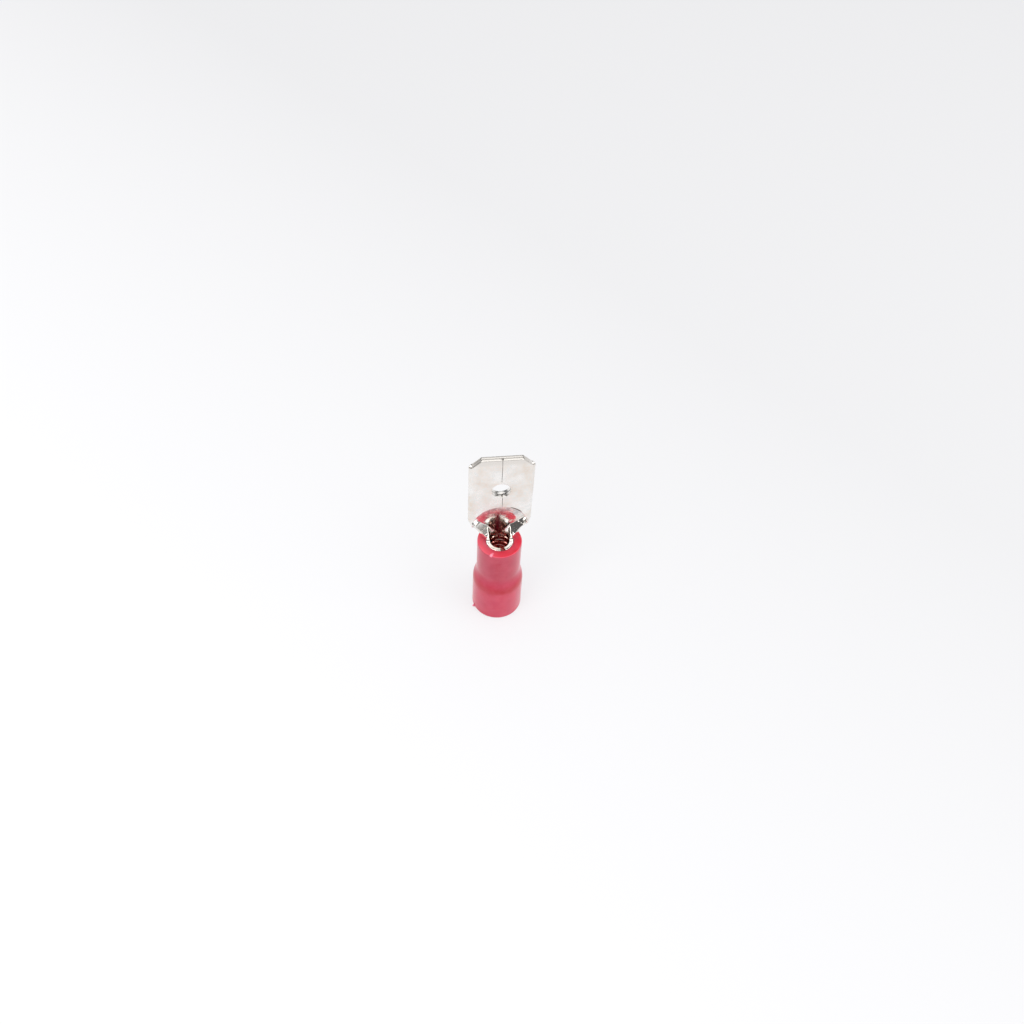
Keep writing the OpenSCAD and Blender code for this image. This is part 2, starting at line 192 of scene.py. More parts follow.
def makePvc():
    material, tree = newMaterial("satinRedPvc")
    f = pvcFinish
    place = addNode(tree, "ShaderNodeTexCoord").outputs["Object"]
    height = addNode(tree, "ShaderNodeSeparateXYZ", {0: place}).outputs["Z"]
    mottle, grain = [addNode(tree, "ShaderNodeTexNoise", {
        "Vector": place, "Scale": 1 / (f[size] * mm), "Detail": detail}).outputs["Fac"]
        for size, detail in (("mottle", 3.0), ("grain", 2.0))]
    # the walls, the band and the rim; painted reflection: paler walls, deeper red where less of the floor
    # shows
    away = addNode(tree, "ShaderNodeMath", {0: height, 1: f["bandHeight"] * mm}, operation="SUBTRACT")
    near = addNode(tree, "ShaderNodeMath", {0: away.outputs[0]}, operation="ABSOLUTE")
    band = addNode(tree, "ShaderNodeMapRange", {
        "Value": near.outputs[0], "From Max": f["bandSpread"] * mm, "To Min": 1.0, "To Max": 0.0},
        interpolation_type="SMOOTHSTEP")
    upper = addNode(tree, "ShaderNodeMapRange", {
        "Value": height, "From Min": f["bandHeight"] * mm,
        "From Max": (f["bandHeight"] + f["gripRise"]) * mm})
    normal = addNode(tree, "ShaderNodeNewGeometry").outputs["Normal"]
    facing = addNode(tree, "ShaderNodeSeparateXYZ", {0: normal}).outputs["Z"]
    upwards = addNode(tree, "ShaderNodeMapRange", {
        "Value": facing, "From Min": f["topFrom"], "From Max": f["topTo"]}, interpolation_type="SMOOTHSTEP")
    # paler clouds and thin flash, and painted highlights on the rim's rounded edge and the left of its top
    cloudy = addNode(tree, "ShaderNodeMapRange", {
        "Value": mottle, "From Min": f["cloudFrom"], "From Max": f["cloudTo"], "To Max": f["cloudPale"]})
    rounding = addNode(tree, "ShaderNodeMapRange", {
        "Value": facing, "From Min": f["edgeFrom"], "From Max": f["edgeTo"], "To Max": f["edgeHighlight"]})
    flat = addNode(tree, "ShaderNodeMapRange", {
        "Value": facing, "From Min": f["flatFrom"], "From Max": f["flatTo"], "To Min": 1.0, "To Max": 0.0})
    rimEdgeHighlight = addNode(tree, "ShaderNodeMath", {
        0: rounding.outputs[0], 1: flat.outputs[0]}, operation="MULTIPLY")
    aside = addNode(tree, "ShaderNodeVectorMath", {0: place, 1: f["leftSheenSide"]}, operation="DOT_PRODUCT")
    leftSheenRamp = addNode(tree, "ShaderNodeMapRange", {
        "Value": aside.outputs["Value"], "From Min": f["leftSheenFrom"] * mm, "From Max": f["leftSheenTo"] * mm,
        "To Max": f["leftSheen"]})
    leftSheenOnTop = addNode(tree, "ShaderNodeMath", {
        0: leftSheenRamp.outputs[0], 1: upwards.outputs[0]}, operation="MULTIPLY")
    thin = addNode(tree, "ShaderNodeAttribute", attribute_name="thinFlash").outputs["Fac"]
    paler = rimEdgeHighlight.outputs[0]
    for other in (leftSheenOnTop.outputs[0], thin, cloudy.outputs[0]):
        paler = addNode(tree, "ShaderNodeMath", {0: paler, 1: other}, operation="MAXIMUM").outputs[0]
    # painted reflection: faces that look up take the rim's deep red, the walls stay paler
    colour = hexColour(f["bell"])
    for share, other in (
            (upper.outputs[0], "grip"), (band.outputs[0], "deep"),
            (upwards.outputs[0], "rim"), (paler, "pale")):
        colour = addNode(tree, "ShaderNodeMix", {
            "Factor": share, "A": colour, "B": hexColour(f[other])}, data_type="RGBA").outputs["Result"]
    gloss = addNode(tree, "ShaderNodeMapRange", {
        "Value": mottle, "From Min": f["glossFrom"], "From Max": f["glossTo"],
        "To Min": f["roughness"][0], "To Max": f["roughness"][1]})
    # fine grain and tool rings
    skin = addNode(tree, "ShaderNodeBump", {
        "Strength": 1.0, "Distance": f["grainDepth"] * mm, "Height": grain})
    rings = addNode(tree, "ShaderNodeTexWave", {
        "Vector": place, "Scale": f["ringPeriod"] / (f["toolMark"] * mm), "Distortion": f["toolWander"],
        "Detail": 1.0}, bands_direction="Z")
    marks = addNode(tree, "ShaderNodeBump", {
        "Strength": 1.0, "Distance": f["toolDepth"] * mm, "Height": rings.outputs["Fac"],
        "Normal": skin.outputs[0]})
    shader = addNode(tree, "ShaderNodeBsdfPrincipled", {
        "Base Color": colour, "Roughness": gloss.outputs[0], "IOR": f["ior"],
        "Subsurface Weight": f["seeThrough"], "Subsurface Radius": f["glow"],
        "Subsurface Scale": f["glowDepth"] * mm,
        "Sheen Weight": f["bloom"], "Sheen Roughness": f["bloomSoft"], "Normal": marks.outputs[0]})
    addNode(tree, "ShaderNodeOutputMaterial", {"Surface": shader.outputs[0]})
    return material


tin = makeTin()
pvc = makePvc()
print("materials made")

# blade: one strip folded into the tab, curled into the neck and rolled into the barrel, all in millimetres
blade = dict(
    sheet=0.4, layerGap=0.03,
    rimHeight=10.5, barrelRecess=0.05, archCentre=1.75,  # arch centre above the barrel's top edge
    gussetTall=1.15, gussetWide=1.32, gussetLean=45,  # inner corner of the gussets, and their lean
    gussetStart=0.5, gussetSoft=0.15, rootSoft=0.25,  # ease the gussets' start, their corner and their root
    leanHold=6,  # how long the lean holds on the way to the ears
    bendHalf=(0.1, 0.2), bendFrom=0.7,  # half the crease's bend, beside the trough and above it
    mostSplit=0.88, splitEase=0.4,  # how the mesh's columns settle along the crease
    troughCorner=0.3,  # radius beside the trough's flat back, at its top
    neckStraight=0.05, neckFillet=1.9,
    burrWide=0.17, burrFrom=0.1, burrTall=0.4,  # the cut spreads the gussets' edges a little
    chamferWide=1.2, chamferTall=1.15, bevelTall=0.7, bevelDeep=0.08,
    tipPress=0.85,  # how far coining shuts the gap at the tip
    seamGap=0.03, seamStray=0.15, strayFrom=0.3, strayEase=0.5,  # the seam strays aside below the hole
    flapLift=(0.07, 0.02), liftEase=3, liftPower=1.5,  # the flaps spring a little, the right one more
    archLip=0.06, lipWide=0.5, lipFrom=0.4, lipEase=0.5,  # one side of the arched cut is turned up a little
    edgeShadeFrom=0.9, edgeShadeTo=2.2, edgeShadeEase=0.25,  # stretch of that side that gets painted shade along the cut
    edgeShadeWide=0.24, edgeShadeSoft=0.06,
    recessShadeFrom=12.6, recessShadeTo=13.4, recessShadePast=0.3,  # height from which the back behind the cut gets painted shade
    earWidth=0.5, barrelSeam=0.45, seamTurn=9, wireChamfer=0.12,
    grooveCount=4, groovePitch=0.9, grooveWide=0.36, grooveDeep=0.1,
    edgeRound=0.05, tipRound=0.09, seamRound=0.02, lipRound=0.15, lipRoundFrom=0.3,
    neckInner=0.035, tabInner=0.012, edgeSteps=4,  # stamped edges, softer on the outer face
    edgeGive=0.25, edgeNear=0.03, archNear=0.05,  # the faces beside a rounded edge make room for it
    mitreLeast=0.5, mitreMost=1.4,  # limits of the step outwards at an edge's corner
    holeClear=0.25,  # room that the mesh's rows keep round the hole
    meshSteps=dict(  # points of the mesh along each stretch
        back=(12, 9), fold=15, flap=(12, 14), ear=6, belowHole=22, besideHole=25, aboveHole=20, bevel=6,
        neck=(21, 25), barrel=5, curl=24),
)
meshSteps = blade["meshSteps"]
stripPast = 9  # past the end of every section
gaussPoints = 6  # per stretch of a section
leastBend = 1e-7  # keeps a bend from vanishing
normalStep = 1e-4  # for the normals
mergeDigits = 4  # decimals to which points are joined
bladeLow, bladeHigh = (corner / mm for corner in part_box("blade_terminal"))
sheet = blade["sheet"]
tipZ = bladeHigh.z
tabHalf = bladeHigh.x
tabMiddle = bladeHigh.y - sheet  # plane between the two layers
barrelMid = mounts["wire_barrel"]["dims"]["r_mm"] + sheet / 2
barrelBottom = bladeLow.z
barrelTop = blade["rimHeight"] - blade["barrelRecess"]
rimZ = blade["rimHeight"]
archZ = barrelTop + blade["archCentre"]
holeR = mounts["detent_hole"]["dims"]["r_mm"]
holeZ = mounts["detent_hole"]["pos_m"][2] / mm
foldAt = tabHalf - sheet  # where the flat back ends and the fold begins
layer = sheet - blade["layerGap"] / 2  # thickness of one pressed layer
foldR = blade["layerGap"] / 2 + layer / 2  # middle of the strip in the fold
archR = tabHalf - blade["earWidth"]
cornerX = tabHalf - blade["chamferWide"]  # where the tip's chamfer starts
slant = atan2(blade["chamferTall"], blade["chamferWide"])
mitreX = cornerX - blade["bevelTall"] * (1 - cos(slant)) / sin(slant)
neckRoot = barrelMid * pi / 2
gussetZ = rimZ + blade["gussetTall"]
# the strip's edge leaves the barrel, rounds a fillet and rises at 45 degrees, round the fold, to the arch
filletZ = rimZ + blade["neckStraight"]
slopeZ = filletZ + blade["neckFillet"] / sqrt(2)
slopeS = neckRoot + blade["neckFillet"] * (1 - 1 / sqrt(2)) + blade["burrWide"]
foldEnd = foldAt + pi * foldR
earSum = foldAt + foldEnd - slopeS + slopeZ - archZ
earZ = archZ + (earSum - sqrt(2 * archR ** 2 - earSum ** 2)) / 2
earX = earSum - earZ + archZ


def smooth(part):
    return part * part * (3 - 2 * part)


def stripEdge(z):
    # half length of the strip's section
    curve = np.clip(z - filletZ, 0, slopeZ - filletZ)
    fillet = blade["neckFillet"] - np.sqrt(blade["neckFillet"] ** 2 - curve ** 2)
    part = np.clip((z - rimZ - blade["burrFrom"]) / blade["burrTall"], 0, 1)
    return neckRoot + fillet + blade["burrWide"] * smooth(part) + np.maximum(0, z - slopeZ)


def neckSection(z):
    # the trough's corner and the lengths to its start and to the crease, the gusset's lean and half its bend
    above = z - gussetZ
    soft = np.clip((above + blade["gussetSoft"]) / 2, 0, blade["gussetSoft"]) ** 2 / blade["gussetSoft"]
    rise = np.where(above < blade["gussetSoft"], soft, above)  # eases the corner at the foot of the gussets
    start = blade["rootSoft"]
    climb = np.clip(z - rise - rimZ, 0, gussetZ - rimZ)
    eased = np.where(climb < start, climb ** 2 / start / 2, climb - start / 2)  # no kink at the barrel
    low = np.clip(eased / (gussetZ - rimZ - start / 2), 0, 1)
    high = np.clip(rise / (earZ - gussetZ), 0, 1)
    wide = barrelMid + (blade["gussetWide"] - barrelMid) * low + (foldAt - blade["gussetWide"]) * high
    deep = barrelMid * (1 - low)
    corner = deep + blade["troughCorner"] * low ** 2
    curl = np.arccos(1 - deep / corner)
    flat = wide - corner * np.sin(curl)
    crease = flat + corner * curl
    part = np.clip(low / blade["gussetStart"], 0, 1)
    lean = radians(blade["gussetLean"]) * (1 - high ** blade["leanHold"]) ** 2
    lean = curl + (lean - curl) * smooth(part)
    bend = np.interp(low, (blade["bendFrom"], 1), blade["bendHalf"])
    half = np.maximum(np.minimum(bend * part, foldAt - crease), leastBend)
    return corner, flat, crease, lean, half


def stripTurn(u, corner, flat, crease, lean, half):
    # direction of the section at length u: flat back, round corner and gusset, eased, then the fold
    def total(v):
        arc = np.clip(v - flat, 0, crease - flat)
        return arc ** 2 / corner / 2 + lean * np.maximum(0, v - crease)
    return (total(u + half) - total(u - half)) / half / 2 + np.clip((u - foldAt) / foldR, 0, pi)


def stripMiddle(s, z, rolled):
    # place of the strip's middle at length s along its section: trough, gusset that leans outward, fold
    settle = np.clip((z - rimZ) / (earZ - rimZ), 0, 1)
    back = barrelMid + (tabMiddle + foldR - barrelMid) * settle
    if rolled:
        turn = s / barrelMid
        return np.stack([barrelMid * np.sin(turn), back - barrelMid * (1 - np.cos(turn)), z], -1)
    section = neckSection(z)
    corner, flat, crease, lean, half = section
    stops = [0, flat - half, flat + half, crease - half, crease + half, foldAt, foldEnd, stripPast]
    stops = np.clip(np.sort([stop + 0 * z for stop in stops], 0), 0, s)
    x, y = 0 * s, back
    for low, high in zip(stops, stops[1:]):
        for at, weight in zip(*np.polynomial.legendre.leggauss(gaussPoints)):
            turn = stripTurn(low + (high - low) * (at + 1) / 2, *section)
            x = x + np.cos(turn) * (high - low) * weight / 2
            y = y - np.sin(turn) * (high - low) * weight / 2
    return np.stack([x, y, z], -1)


def stripPoint(s, z, rolled):
    # place and outward normal, the normal from steps along the section and down the strip
    here = stripMiddle(s, z, rolled)
    along = stripMiddle(s + normalStep, z, rolled) - stripMiddle(s - normalStep, z, rolled)
    down = stripMiddle(s, z - normalStep, rolled) - here
    normal = np.cross(along, down)
    return here, normal / np.linalg.norm(normal, axis=-1, keepdims=True)


def joinSteps(*runs):
    return np.concatenate([runs[0], *[r[1:] for r in runs[1:]]])


backX = joinSteps(
    np.linspace(0, mitreX, meshSteps["back"][0]), np.linspace(mitreX, foldAt, meshSteps["back"][1]))
foldTurn = np.linspace(0, pi, meshSteps["fold"])
mitreTurn, earTurn = np.arccos(mitreX / archR), np.arccos(earX / archR)
flapTurn = joinSteps(
    np.linspace(earTurn, mitreTurn, meshSteps["flap"][0]),
    np.linspace(mitreTurn, np.arccos(blade["seamGap"] / 2 / archR), meshSteps["flap"][1]))
flapX = joinSteps(np.linspace(foldAt, earX, meshSteps["ear"]), archR * np.cos(flapTurn))
# columns that run on into the neck
earS = joinSteps(backX, foldAt + foldR * foldTurn, foldEnd + foldAt - flapX[:meshSteps["ear"]])
neckColumns = len(earS) - 1


def tipTop(x):
    return tipZ - np.maximum(0, x - cornerX) * tan(slant)


def bevelFoot(x):
    slope = tipZ - (blade["bevelTall"] + sin(slant) * (x - cornerX)) / cos(slant)
    return np.minimum(tipZ - blade["bevelTall"], slope)


def tabColumn(x, inner, foot):
    # one line of points up a flat face: past the hole, then up the coined bevel; returns x and z
    room = foldAt - x
    clear = holeR + blade["holeClear"] * min(1, (x - inner) / blade["holeClear"])
    low = np.linspace(foot, holeZ - clear, meshSteps["belowHole"])
    angle = np.linspace(-pi / 2, pi / 2, meshSteps["besideHole"])[1:-1]
    middle = holeZ + clear * np.sin(angle)
    gap = np.maximum(inner, holeR * np.cos(angle))
    high = np.linspace(holeZ + clear, bevelFoot(x), meshSteps["aboveHole"])
    part = np.linspace(0, 1, meshSteps["bevel"])[1:]
    corner = mitreX + part * (cornerX - mitreX)
    if x <= mitreX:
        tipX = x * corner / mitreX
    else:
        tipX = corner + (x - mitreX) * (foldAt - corner) / (foldAt - mitreX)
    top = bevelFoot(x) + part * (tipTop(tipX) - bevelFoot(x))
    aside = foldAt - room * (foldAt - gap) / (foldAt - inner)
    xs = np.concatenate([0 * low + x, aside, 0 * high + x, tipX])
    return xs, np.concatenate([low, middle, high, top])


def foldColumn(turn):
    # the same rows where the strip goes round the fold
    x = foldAt + foldR * sin(turn)
    angle = np.linspace(-pi / 2, pi / 2, meshSteps["besideHole"])[1:-1]
    clear = holeR + blade["holeClear"]
    part = np.linspace(0, 1, meshSteps["bevel"])[1:]
    z = np.concatenate([
        np.linspace(earZ, holeZ - clear, meshSteps["belowHole"]), holeZ + clear * np.sin(angle),
        np.linspace(holeZ + clear, bevelFoot(x), meshSteps["aboveHole"]),
        bevelFoot(x) + part * (tipTop(x) - bevelFoot(x))])
    return np.full(len(z), foldAt + foldR * turn), z


def tabGrid():
    columns = [tabColumn(x, 0.0, earZ) for x in backX] + [foldColumn(turn) for turn in foldTurn[1:]]
    for k, x in enumerate(flapX[1:]):
        foot = earZ if k < meshSteps["ear"] - 1 else archZ + sqrt(max(0, archR ** 2 - x ** 2))
        xs, z = tabColumn(x, blade["seamGap"] / 2, foot)
        columns.append((foldEnd + foldAt - xs, z))
    return np.array([c[0] for c in columns]).T, np.array([c[1] for c in columns]).T


def neckGrid():
    low, high = meshSteps["neck"]
    z = joinSteps(
        np.array([barrelTop, rimZ]), np.linspace(rimZ, gussetZ, low), np.linspace(gussetZ, earZ, high))
    edge = stripEdge(z)[:, None]
    crease = neckSection(z)[2][:, None]
    split = np.minimum(crease, blade["mostSplit"] * edge)  # columns of the back end at the crease
    blend = np.clip((z - rimZ) / (earZ - rimZ), 0, 1)[:, None]
    count = len(backX) - 1
    even = np.linspace(0, 1, neckColumns + 1)
    back = (1 - blend) * even[:count + 1] / even[count] + blend * earS[:count + 1] / foldAt
    ear = (1 - blend) * (even[count:] - even[count]) / (1 - even[count])
    ear = ear + blend * (earS[count:] - foldAt) / (earS[-1] - foldAt)
    rolledSplit = even[count] * edge
    split = rolledSplit + (split - rolledSplit) * np.clip((z[:, None] - rimZ) / blade["splitEase"], 0, 1)
    s = np.concatenate([back * split, (split + ear * (edge - split))[:, 1:]], 1)
    return s, np.repeat(z[:, None], neckColumns + 1, 1)


def grooveHeights():
    return [barrelTop - blade["groovePitch"] * (i + 0.5) for i in range(blade["grooveCount"])]


def barrelGrid():
    marks = {barrelBottom, barrelBottom + blade["wireChamfer"], barrelTop}
    for z in grooveHeights():
        marks.update((z - blade["grooveWide"] / 2, z, z + blade["grooveWide"] / 2))
    marks = sorted(marks)
    z = joinSteps(*[np.linspace(a, b, meshSteps["barrel"]) for a, b in zip(marks, marks[1:])])
    sides = []
    for side in (1, -1):
        end = barrelMid * (pi - side * radians(blade["seamTurn"])) - blade["barrelSeam"] / 2
        s = joinSteps(
            np.linspace(0, neckRoot, neckColumns + 1), np.linspace(neckRoot, end, meshSteps["curl"]))
        sides.append(np.meshgrid(s, z))
    return sides[0][0], sides[0][1], True, sides[1][0]


def innerCut(z):
    # how far the grooves and the wire chamfer eat into the barrel's inner face
    cut = np.maximum(0, blade["wireChamfer"] - np.abs(z - barrelBottom))
    for groove in grooveHeights():
        cut = np.maximum(cut, blade["grooveDeep"] * (1 - np.abs(z - groove) * 2 / blade["grooveWide"]))
    return cut * (z < barrelTop)


def tipDepth(x, z):
    # distance inwards from the tip's outline
    return np.minimum(tipZ - z, -sin(slant) * (np.abs(x) - cornerX) - cos(slant) * (z - tipZ))


def archReach(x, z):
    return np.hypot(x, z - archZ) - archR


def spring(points):
    # the front flaps stand off the back a little beside the seam, and the seam strays aside below the hole
    x, y, z = points.T
    ease = blade["liftEase"]
    near = np.clip(1 - np.abs(x) / foldAt, 0, 1) * (y < tabMiddle) * (z > archZ)
    held = np.clip(tipDepth(x, z) / ease, 0, 1) * np.clip((z - archZ) / ease, 0, 1)
    lift = np.where(x > 0, *blade["flapLift"])
    part = np.clip((holeZ - holeR + blade["strayFrom"] - z) / blade["strayEase"], 0, 1)
    lip = np.clip(1 - archReach(x, z) / blade["lipWide"], 0, 1) ** 2 * np.clip(x - blade["lipFrom"], 0, 1)
    lip = lip * np.clip((z - earZ) / blade["lipEase"], 0, 1) * (y < tabMiddle)
    points[:, 1] -= lift * near ** blade["liftPower"] * held + blade["archLip"] * lip
    points[:, 0] += blade["seamStray"] * near * smooth(part)
    return points


def archEdgeShade(points):
    # where one side of the arched cut gets painted shade, for the shadowed gap under the flap's edge
    x, y, z = points.T
    reach, soft = archReach(x, z), blade["edgeShadeSoft"]
    across = np.clip((blade["edgeShadeWide"] - reach) / soft, 0, 1) * (reach > -soft)
    along = np.clip(np.minimum(x - blade["edgeShadeFrom"], blade["edgeShadeTo"] - x) / blade["edgeShadeEase"], 0, 1)
    return across * along * (y < tabMiddle) * (z > archZ)


def recessShadeMask(points):
    # where the front of the back layer shows through the arched cut and gets painted shade
    x, y, z = points.T
    rise = np.clip((z - blade["recessShadeFrom"]) / (blade["recessShadeTo"] - blade["recessShadeFrom"]), 0, 1)
    front = np.abs(y - tabMiddle - blade["layerGap"] / 2) < blade["layerGap"]
    return rise * (archReach(x, z) < blade["recessShadePast"]) * front


def coin(points):
    # squeezes the layers together round the tip
    y = points[:, 1] - tabMiddle
    inside = tipDepth(points[:, 0], points[:, 2])
    bevel = np.clip(1 - inside / blade["bevelTall"], 0, 1)
    squeeze = 1 - blade["bevelDeep"] / layer * bevel
    gap = blade["layerGap"] / 2
    shut = 1 - blade["tipPress"] * bevel
    pressed = np.sign(y) * (gap * shut + (np.abs(y) - gap) * squeeze)
    points[:, 1] = tabMiddle + np.where(np.abs(y) > gap, pressed, y * shut)
    return points


class Strip:
    # the middle of the sheet: places, normals, half thicknesses and faces
    def __init__(self):
        self.index, self.faces = {}, []
        self.place, self.normal, self.half, self.cut, self.inner = [], [], [], [], []

    def addGrid(self, s, z, rolled, left=None):
        settle = np.clip((z - rimZ) / (earZ - rimZ), 0, 1)
        thick = sheet + (layer - sheet) * settle
        inner = blade["neckInner"] + (blade["tabInner"] - blade["neckInner"]) * settle
        cut = innerCut(z) if rolled else 0 * z
        for side, run in ((1, s), (-1, s if left is None else left)):
            place, normal = stripPoint(run, z, rolled)
            ids = np.zeros(z.shape, int)
            for at in np.ndindex(z.shape):
                p = place[at] * (side, 1, 1)
                key = tuple(np.round(p, mergeDigits) + 0.0)
                if key not in self.index:
                    self.index[key] = len(self.place)
                    self.place.append(p)
                    self.normal.append(normal[at] * (side, 1, 1))
                    self.half.append(thick[at] / 2)
                    self.cut.append(cut[at])
                    self.inner.append(inner[at])
                ids[at] = self.index[key]
            for r in range(z.shape[0] - 1):
                for c in range(z.shape[1] - 1):
                    quad = [ids[r, c], ids[r, c + 1], ids[r + 1, c + 1], ids[r + 1, c]]
                    quad = [v for k, v in enumerate(quad) if v != quad[k - 1]]
                    if len(quad) > 2:
                        self.faces.append(quad if side < 0 else quad[::-1])


def edgeOutwards(strip, place):
    # open edges of the strip, and at each of their points the direction out of the strip
    owner = {}
    for face in strip.faces:
        for a, b in zip(face, face[1:] + face[:1]):
            owner.setdefault((min(a, b), max(a, b)), []).append((a, b, face))
    rims = [uses[0] for uses in owner.values() if len(uses) == 1]
    found = {}
    for a, b, face in rims:
        along = place[b] - place[a]
        along /= np.linalg.norm(along)
        out = (place[a] + place[b]) / 2 - place[face].mean(0)
        out -= along * (out @ along)
        for v in (a, b):
            found.setdefault(v, []).append(out / np.linalg.norm(out))
    outwards = {}
    for v, dirs in found.items():
        total = np.sum(dirs, 0)
        total -= strip.normal[v] * (total @ strip.normal[v])
        size = np.linalg.norm(total)
        reach = min(blade["mitreMost"], 1 / max(blade["mitreLeast"], size / len(dirs)))
        outwards[v] = total / size * reach
    return rims, outwards


def rimRadius(spot):
    # rounding of a cut edge's outer side
    x, y, z = spot
    front = z > archZ and y < tabMiddle
    if tipDepth(x, z) < blade["edgeNear"]:
        return blade["tipRound"]
    if front and abs(x) < blade["edgeNear"]:
        return blade["seamRound"]
    if front and archReach(x, z) < blade["archNear"]:
        part = min(1, max(0, x - blade["lipRoundFrom"]))
        return blade["edgeRound"] + (blade["lipRound"] - blade["edgeRound"]) * part
    return blade["edgeRound"]


def rimProfile(r, half, cut, soft):
    # rounded section of a cut edge, from outer face to inner: steps along the normal, and outwards
    turns = np.linspace(0, pi / 2, blade["edgeSteps"] + 1)
    outer = [(half - r * (1 - cos(t)), -r * (1 - sin(t))) for t in turns]
    inner = [(-half + cut + soft * (1 - cos(t)), -soft * (1 - sin(t))) for t in turns[::-1]]
    return outer + inner


def foldedBlade():
    strip = Strip()
    strip.addGrid(*barrelGrid())
    strip.addGrid(*neckGrid(), False)
    strip.addGrid(*tabGrid(), False)
    strip.normal = np.array(strip.normal)
    place = np.array(strip.place)
    half, cut = np.array(strip.half), np.array(strip.cut)
    rims, outwards = edgeOutwards(strip, place)
    last = 2 * blade["edgeSteps"] + 1
    # points near a cut edge make room for its rounding
    tree = KDTree(len(outwards))
    for k, v in enumerate(outwards):
        tree.insert(place[v], k)
    tree.balance()
    near, far = (np.array(part) for part in zip(*[tree.find(p)[1:] for p in place]))
    give = np.clip(1 - far / blade["edgeGive"], 0, 1)[:, None] * np.array(list(outwards.values()))[near]
    give -= strip.normal * np.sum(give * strip.normal, 1, keepdims=True)
    radii = {v: rimRadius(place[v]) for v in outwards}
    soft = np.array([strip.inner[v] for v in outwards])[near, None]
    outerPoints = place + strip.normal * half[:, None] - give * np.array(list(radii.values()))[near, None]
    innerPoints = place - strip.normal * (half - cut)[:, None] - give * soft
    points = [*outerPoints, *innerPoints]
    count = len(place)
    edgeIds = {}
    for v, out in outwards.items():
        profile = rimProfile(radii[v], half[v], cut[v], strip.inner[v])
        ids = []
        for k, (off, reach) in enumerate(profile):
            p = place[v] + strip.normal[v] * off + out * reach
            if k == 0:
                points[v], index = p, v
            elif k == last:
                points[count + v], index = p, count + v
            else:
                index = len(points)
                points.append(p)
            ids.append(index)
        edgeIds[v] = ids
    faces = strip.faces + [[v + count for v in f[::-1]] for f in strip.faces]
    for a, b, _ in rims:
        for k in range(last):
            faces.append([edgeIds[b][k], edgeIds[a][k], edgeIds[a][k + 1], edgeIds[b][k + 1]])
    mesh = bpy.data.meshes.new("foldedBlade")
    points = spring(coin(np.array(points)))
    mesh.from_pydata([tuple(p * mm) for p in points], [], faces)
    for name, mask in (("archEdgeShade", archEdgeShade), ("recessShadeMask", recessShadeMask)):
        mesh.attributes.new(name, "FLOAT", "POINT").data.foreach_set("value", mask(points))
    return mesh


def addPiece(name, mesh, material, node):
    mesh.materials.clear()
    mesh.materials.append(material)
    piece = bpy.data.objects.new(name, mesh)
    bpy.context.scene.collection.objects.link(piece)
    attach(piece, "root")
    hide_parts(node)
    print(name, "has", len(mesh.polygons), "faces")


def weighNormals(mesh):
    # keeps flat faces flat beside their rounded edges
    mesh.shade_smooth()
    holder = bpy.data.objects.new("normalHolder", mesh)
    bpy.context.scene.collection.objects.link(holder)
    weigh = holder.modifiers.new("weigh", "WEIGHTED_NORMAL")
    weigh.weight = 100  # large faces count most
    weigh.keep_sharp = True
    done = bpy.data.meshes.new_from_object(holder.evaluated_get(bpy.context.evaluated_depsgraph_get()))
    bpy.data.objects.remove(holder)
    return done


addPiece("foldedBlade", weighNormals(foldedBlade()), tin, "blade_terminal")

# sleeve: a section turned round the barrel's axis, with a tag of flash at its foot and a burr on its rim,
# all in millimetres
sleeve = dict(
    gripRadius=2.29, gripBore=1.42, bellRadius=2.66,
    bellBore=mounts["insulation_entry"]["dims"]["r_mm"],
    length=rimZ, shoulderFoot=4.3, shoulderTall=2.2, funnelHead=barrelBottom,
    footEdge=0.25, rimEdge=0.13, mouthEdge=0.06, edgeSteps=10,
    flashAngle=198, flashReach=0.26, flashHeight=0.2,
    flashSpan=(0.5, 0.2, 0.42),  # outwards, along and up
    burrAngle=241, burrReach=0.08, burrLean=0.5, burrSpan=(0.5, 0.26, 0.3),
    tear=0.9, tearSize=0.3,  # how ragged the flash and the burr are
    rowStep=0.1, around=320,
    wobble=0.02, wobbleSize=2.5, seed=3.0,
    wobbleFrom=0.3, wobbleTo=0.8,  # height over which the wobble begins
)


